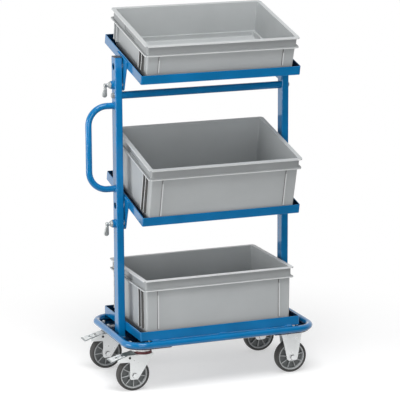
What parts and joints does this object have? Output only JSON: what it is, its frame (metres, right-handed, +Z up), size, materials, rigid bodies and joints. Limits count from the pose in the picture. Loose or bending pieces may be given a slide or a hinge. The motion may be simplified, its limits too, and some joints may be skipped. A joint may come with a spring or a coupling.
{
  "type": "bin trolley",
  "caption": "Steel trolley for stacking bins: a level tray on a tube base with casters, tilting clamped trays between two posts, and a side push handle.",
  "frame": {"origin": "on the floor, under the middle of the whole trolley's box", "axes": "+X along the long side, away from the push handle; +Y to the back; +Z up"},
  "size_m": [0.8464, 0.5096, 1.3905],
  "materials": {
    "blue_paint": "blue powder coat",
    "zinc_steel": "bright zinc plating",
    "cast_zinc": "tumbled zinc casting",
    "bin_grey": "moulded, fine grain",
    "rim_grey": "moulded",
    "tyre_rubber": "soft solid rubber",
    "cap_black": "moulded",
    "seal_red": "moulded"
  },
  "bodies": {
    "chassis": {"base_tube_ring": "blue_paint", "end_plate_left": "blue_paint", "end_plate_right": "blue_paint", "tray_cross_bars": "blue_paint", "lower_tray_frame": "blue_paint", "left_post": "blue_paint", "right_post": "blue_paint", "post_end_caps": "cap_black", "top_crossbar": "blue_paint", "crossbar_bolts": "zinc_steel", "push_handle": "blue_paint", "pivot_bolts": "zinc_steel", "pivot_nuts": "zinc_steel", "spacer_washers": "zinc_steel", "clamp_bosses": "blue_paint", "clamp_studs": "zinc_steel", "caster_bolts": "zinc_steel", "caster_nuts": "zinc_steel", "fixed_fork_front": "zinc_steel", "fixed_fork_rear": "zinc_steel", "fixed_axle_bolts": "zinc_steel", "fixed_axle_nuts": "zinc_steel", "swivel_plate_front": "zinc_steel", "swivel_plate_rear": "zinc_steel", "kingpins": "zinc_steel"},
    "upper_tray": {"upper_tray_frame": "blue_paint", "upper_tray_brackets": "blue_paint"},
    "upper_bin": {"upper_bin": "bin_grey"},
    "upper_clamp_lever": {"upper_clamp_lever": "cast_zinc"},
    "middle_tray": {"middle_tray_frame": "blue_paint", "middle_tray_brackets": "blue_paint"},
    "middle_bin": {"middle_bin": "bin_grey"},
    "middle_clamp_lever": {"middle_clamp_lever": "cast_zinc"},
    "lower_bin": {"lower_bin": "bin_grey"},
    "swivel_front": {"swivel_fork_front": "zinc_steel", "swivel_seal_front": "seal_red", "swivel_balls_front": "zinc_steel", "swivel_axle_front": "zinc_steel", "pedal_pin_front": "zinc_steel"},
    "brake_pedal_front": {"brake_pedal_front": "zinc_steel", "brake_shoe_front": "tyre_rubber"},
    "left_front_wheel": {"left_front_wheel_rim": "rim_grey", "left_front_wheel_tyre": "tyre_rubber", "left_front_wheel_sleeve": "zinc_steel"},
    "right_front_wheel": {"right_front_wheel_rim": "rim_grey", "right_front_wheel_tyre": "tyre_rubber", "right_front_wheel_sleeve": "zinc_steel"},
    "swivel_rear": {"swivel_fork_rear": "zinc_steel", "swivel_seal_rear": "seal_red", "swivel_balls_rear": "zinc_steel", "swivel_axle_rear": "zinc_steel", "pedal_pin_rear": "zinc_steel"},
    "brake_pedal_rear": {"brake_pedal_rear": "zinc_steel", "brake_shoe_rear": "tyre_rubber"},
    "left_rear_wheel": {"left_rear_wheel_rim": "rim_grey", "left_rear_wheel_tyre": "tyre_rubber", "left_rear_wheel_sleeve": "zinc_steel"},
    "right_rear_wheel": {"right_rear_wheel_rim": "rim_grey", "right_rear_wheel_tyre": "tyre_rubber", "right_rear_wheel_sleeve": "zinc_steel"}
  },
  "joints": [
    {"name": "upper_tray_tilt", "type": "hinge", "parent": "chassis", "child": "upper_tray", "pos_m": [0.03275, 0.00831, 1.194], "axis": [1, 0, 0], "range_deg": [-14, 16]},
    {"name": "upper_bin_lift", "type": "slide", "parent": "upper_tray", "child": "upper_bin", "axis": [0, -0.2419, 0.9703], "range_m": [0, 0.2]},
    {"name": "upper_clamp_turn", "type": "hinge", "parent": "chassis", "child": "upper_clamp_lever", "pos_m": [-0.32425, 0.00831, 1.126], "axis": [1, 0, 0], "range_deg": [-90, 90]},
    {"name": "middle_tray_tilt", "type": "hinge", "parent": "chassis", "child": "middle_tray", "pos_m": [0.03275, 0.00831, 0.6735], "axis": [1, 0, 0], "range_deg": [-14, 16]},
    {"name": "middle_bin_lift", "type": "slide", "parent": "middle_tray", "child": "middle_bin", "axis": [0, -0.2419, 0.9703], "range_m": [0, 0.1]},
    {"name": "middle_clamp_turn", "type": "hinge", "parent": "chassis", "child": "middle_clamp_lever", "pos_m": [-0.32425, 0.00831, 0.6055], "axis": [1, 0, 0], "range_deg": [-90, 90]},
    {"name": "lower_bin_lift", "type": "slide", "parent": "chassis", "child": "lower_bin", "axis": [0, 0, 1], "range_m": [0, 0.15]},
    {"name": "caster_swivel_front", "type": "hinge", "parent": "chassis", "child": "swivel_front", "pos_m": [-0.25825, -0.13368, 0.1675], "axis": [0, 0, 1], "continuous": true},
    {"name": "brake_press_front", "type": "hinge", "parent": "swivel_front", "child": "brake_pedal_front", "pos_m": [-0.31925, -0.13368, 0.1315], "axis": [0, -1, 0], "range_deg": [0, 12]},
    {"name": "left_front_wheel_spin", "type": "hinge", "parent": "swivel_front", "child": "left_front_wheel", "pos_m": [-0.30025, -0.13368, 0.0625], "axis": [0, 1, 0], "continuous": true},
    {"name": "right_front_wheel_spin", "type": "hinge", "parent": "chassis", "child": "right_front_wheel", "pos_m": [0.33575, -0.13368, 0.0625], "axis": [0, 1, 0], "continuous": true},
    {"name": "caster_swivel_rear", "type": "hinge", "parent": "chassis", "child": "swivel_rear", "pos_m": [-0.25825, 0.17731, 0.1675], "axis": [0, 0, 1], "continuous": true},
    {"name": "brake_press_rear", "type": "hinge", "parent": "swivel_rear", "child": "brake_pedal_rear", "pos_m": [-0.31925, 0.17731, 0.1315], "axis": [0, -1, 0], "range_deg": [0, 12]},
    {"name": "left_rear_wheel_spin", "type": "hinge", "parent": "swivel_rear", "child": "left_rear_wheel", "pos_m": [-0.30025, 0.17731, 0.0625], "axis": [0, 1, 0], "continuous": true},
    {"name": "right_rear_wheel_spin", "type": "hinge", "parent": "chassis", "child": "right_rear_wheel", "pos_m": [0.33575, 0.17731, 0.0625], "axis": [0, 1, 0], "continuous": true}
  ]
}
